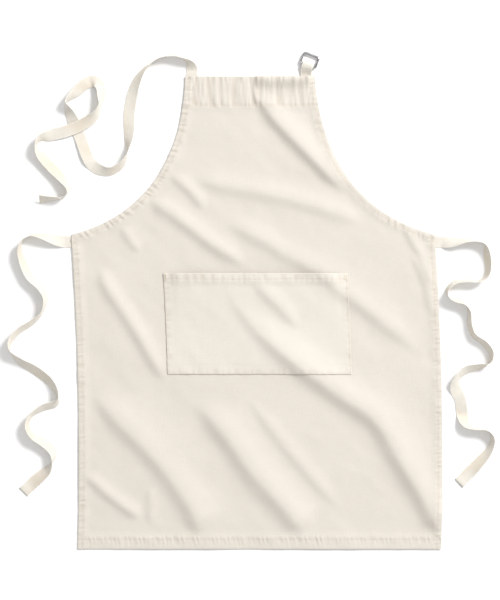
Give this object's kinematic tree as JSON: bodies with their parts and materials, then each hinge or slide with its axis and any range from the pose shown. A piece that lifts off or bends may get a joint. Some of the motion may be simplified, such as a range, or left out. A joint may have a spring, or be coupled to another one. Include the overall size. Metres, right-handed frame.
{
  "type": "bib apron",
  "caption": "Natural canvas bib apron laid flat, with a front patch pocket, long waist ties, a neck strap and a metal ring closure on a tape tab.",
  "frame": {"origin": "underside of the apron, on its centre line and halfway between the bib's top edge and the skirt's bottom edge", "axes": "+Y along the apron towards the bib, +X towards the side with the rings, +Z out of the front face, up from the table it lies on"},
  "size_m": [0.9092, 0.9299, 0.0229],
  "materials": {
    "canvas": "plain-weave natural cotton canvas, unbleached",
    "tape": "ribbed cotton tape, ivory",
    "thread": "matt cotton sewing thread",
    "nickel": "nickel-plated wire, satin"
  },
  "bodies": {
    "apron": {"body_panel": "canvas", "pocket_panel": "canvas", "neck_strap_sewn_end": "tape", "tie_sewn_end_left": "tape", "tie_sewn_end_right": "tape", "ring_tab_sewn_end": "tape", "top_band_thread": "thread", "bottom_hem_thread": "thread", "side_hem_thread_left": "thread", "side_hem_thread_right": "thread", "armhole_thread_left": "thread", "armhole_thread_right": "thread", "pocket_seam_thread": "thread", "pocket_bartack_left": "thread", "pocket_bartack_right": "thread", "neck_strap_box_stitch": "thread", "ring_tab_box_stitch": "thread", "tie_box_stitch_left": "thread", "tie_box_stitch_right": "thread"},
    "strap": {"neck_strap": "tape"},
    "tie_left": {"waist_tie_left": "tape"},
    "tie_right": {"waist_tie_right": "tape"},
    "tab": {"ring_tab": "tape"},
    "lower_ring": {"ring_lower": "nickel"},
    "upper_ring": {"ring_upper": "nickel"}
  },
  "joints": [
    {"name": "neck_strap_swing", "type": "hinge", "parent": "apron", "child": "strap", "pos_m": [-0.11716, 0.4539, 0], "axis": [0, 0, 1], "range_deg": [-40, 3]},
    {"name": "tie_left_swing", "type": "hinge", "parent": "apron", "child": "tie_left", "pos_m": [-0.3545, 0.1325, 0], "axis": [0, 0, 1], "range_deg": [-20, 2]},
    {"name": "tie_right_swing", "type": "hinge", "parent": "apron", "child": "tie_right", "pos_m": [0.3493, 0.1325, 0], "axis": [0, 0, 1], "range_deg": [-1, 45]},
    {"name": "ring_tab_lift", "type": "hinge", "parent": "apron", "child": "tab", "pos_m": [0.09634, 0.44275, 0.00065], "axis": [1, 0, 0], "range_deg": [0, 60]},
    {"name": "ring_swing", "type": "hinge", "parent": "tab", "child": "lower_ring", "pos_m": [0.09934, 0.4625, 0.00493], "axis": [0.9336, -0.3584, 0], "range_deg": [0, 90]},
    {"name": "ring_opening", "type": "hinge", "parent": "lower_ring", "child": "upper_ring", "pos_m": [0.09934, 0.4625, 0.00493], "axis": [0.9336, -0.3584, 0], "range_deg": [0, 35]}
  ]
}
